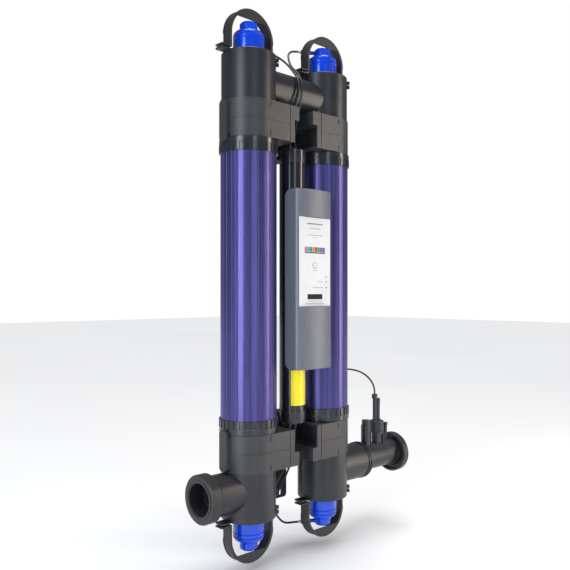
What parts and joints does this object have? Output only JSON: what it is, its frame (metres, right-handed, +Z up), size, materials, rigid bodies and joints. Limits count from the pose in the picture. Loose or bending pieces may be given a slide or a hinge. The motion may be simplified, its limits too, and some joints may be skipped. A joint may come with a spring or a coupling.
{
  "type": "pool water treatment unit",
  "caption": "Wall-mounted pool water steriliser: upright finned lamp chambers joined at the top, with a control case, ballast tube, flow switch and pipe sockets.",
  "frame": {"origin": "on the wall plane, in the middle of the four mounting slots", "axes": "+X along the row of chambers towards the outlet, +Z up, the wall on +Y and the front of the unit facing -Y"},
  "size_m": [0.5949, 0.162, 1.106],
  "materials": {
    "head_plastic": "satin moulded ABS",
    "nut_plastic": "polished moulded plastic",
    "collar_plastic": "fine textured moulding",
    "cap_blue": "polished, slightly translucent",
    "hoop_plastic": "fine textured moulding",
    "cord_black": "soft PVC jacket",
    "fin_purple": "purple anodised",
    "quartz": "clear fused quartz",
    "lamp_glass": "clear lamp glass with white end caps",
    "flange_plastic": "satin moulded ABS",
    "seal_rubber": "smooth EPDM",
    "switch_plastic": "satin moulding",
    "ballast_black": "gloss tube",
    "ballast_cap": "gloss moulding",
    "board_green": "solder mask",
    "sticker_yellow": "vinyl film",
    "case_satin": "satin anodised extrusion",
    "case_back_black": "moulded",
    "panel_white": "printed film, plain",
    "button_grey": "soft touch",
    "led_clear": "tinted lens",
    "gland_plastic": "moulded nylon",
    "bracket_black": "moulded",
    "screw_steel": "stainless",
    "ferrule_white": "moulded nylon"
  },
  "bodies": {
    "root": {"ballast_bottom_cap": "ballast_cap", "ballast_electronics": "board_green", "ballast_sticker": "sticker_yellow", "ballast_top_cap": "ballast_cap", "ballast_tube": "ballast_black", "bottom_wall_bracket": "bracket_black", "bracket_screws": "screw_steel", "cable_glands": "gland_plastic", "circuit_board": "board_green", "control_case_back": "case_back_black", "control_case_shell": "case_satin", "cross_pipe": "head_plastic", "flow_switch_body": "switch_plastic", "flow_switch_cable": "cord_black", "flow_switch_cap": "switch_plastic", "flow_switch_stems": "switch_plastic", "hoop_pins": "screw_steel", "inlet_flange": "flange_plastic", "label_panel": "panel_white", "lead_ferrules": "ferrule_white", "left_bottom_collar": "collar_plastic", "left_bottom_head": "head_plastic", "left_bottom_lamp_cap": "cap_blue", "left_bottom_lamp_lead": "cord_black", "left_finned_tube": "fin_purple", "left_quartz_sleeve": "quartz", "left_top_collar": "collar_plastic", "left_top_head": "head_plastic", "left_top_lamp_cap": "cap_blue", "left_top_lamp_lead": "cord_black", "left_uv_lamp": "lamp_glass", "outlet_pipe": "head_plastic", "port_seals": "seal_rubber", "right_bottom_collar": "collar_plastic", "right_bottom_head": "head_plastic", "right_bottom_lamp_cap": "cap_blue", "right_bottom_lamp_lead": "cord_black", "right_finned_tube": "fin_purple", "right_quartz_sleeve": "quartz", "right_top_collar": "collar_plastic", "right_top_head": "head_plastic", "right_top_lamp_cap": "cap_blue", "right_top_lamp_lead": "cord_black", "right_uv_lamp": "lamp_glass", "sleeve_seals": "seal_rubber", "status_leds": "led_clear", "top_wall_bracket": "bracket_black", "tube_gaskets": "seal_rubber"},
    "left_top_hoop": {"left_top_guard_hoop": "hoop_plastic"},
    "left_bottom_hoop": {"left_bottom_guard_hoop": "hoop_plastic"},
    "right_top_hoop": {"right_top_guard_hoop": "hoop_plastic"},
    "right_bottom_hoop": {"right_bottom_guard_hoop": "hoop_plastic"},
    "left_top_nut": {"left_top_ring_nut": "nut_plastic"},
    "left_bottom_nut": {"left_bottom_ring_nut": "nut_plastic"},
    "right_top_nut": {"right_top_ring_nut": "nut_plastic"},
    "right_bottom_nut": {"right_bottom_ring_nut": "nut_plastic"},
    "button": {"reset_button": "button_grey"},
    "paddle": {"flow_paddle": "switch_plastic"}
  },
  "joints": [
    {"name": "left_top_hoop_hinge", "type": "hinge", "parent": "root", "child": "left_top_hoop", "pos_m": [-0.0535, -0.072, 0.468], "axis": [0, 1, 0], "range_deg": [0, 65]},
    {"name": "left_bottom_hoop_hinge", "type": "hinge", "parent": "root", "child": "left_bottom_hoop", "pos_m": [-0.0535, -0.072, -0.468], "axis": [0, -1, 0], "range_deg": [0, 65]},
    {"name": "right_top_hoop_hinge", "type": "hinge", "parent": "root", "child": "right_top_hoop", "pos_m": [0.1605, -0.072, 0.468], "axis": [0, 1, 0], "range_deg": [0, 65]},
    {"name": "right_bottom_hoop_hinge", "type": "hinge", "parent": "root", "child": "right_bottom_hoop", "pos_m": [0.1605, -0.072, -0.468], "axis": [0, -1, 0], "range_deg": [0, 65]},
    {"name": "left_top_nut_turn", "type": "hinge", "parent": "root", "child": "left_top_nut", "pos_m": [-0.107, -0.072, 0.277], "axis": [0, 0, 1], "continuous": true},
    {"name": "left_bottom_nut_turn", "type": "hinge", "parent": "root", "child": "left_bottom_nut", "pos_m": [-0.107, -0.072, -0.277], "axis": [0, 0, -1], "continuous": true},
    {"name": "right_top_nut_turn", "type": "hinge", "parent": "root", "child": "right_top_nut", "pos_m": [0.107, -0.072, 0.277], "axis": [0, 0, 1], "continuous": true},
    {"name": "right_bottom_nut_turn", "type": "hinge", "parent": "root", "child": "right_bottom_nut", "pos_m": [0.107, -0.072, -0.277], "axis": [0, 0, -1], "continuous": true},
    {"name": "reset_press", "type": "slide", "parent": "root", "child": "button", "axis": [0, 1, 0], "range_m": [0, 0.0012], "stiffness_N_per_m": 900},
    {"name": "paddle_swing", "type": "hinge", "parent": "root", "child": "paddle", "pos_m": [0.298, -0.072, -0.383], "axis": [0, -1, 0], "range_deg": [0, 40]}
  ]
}
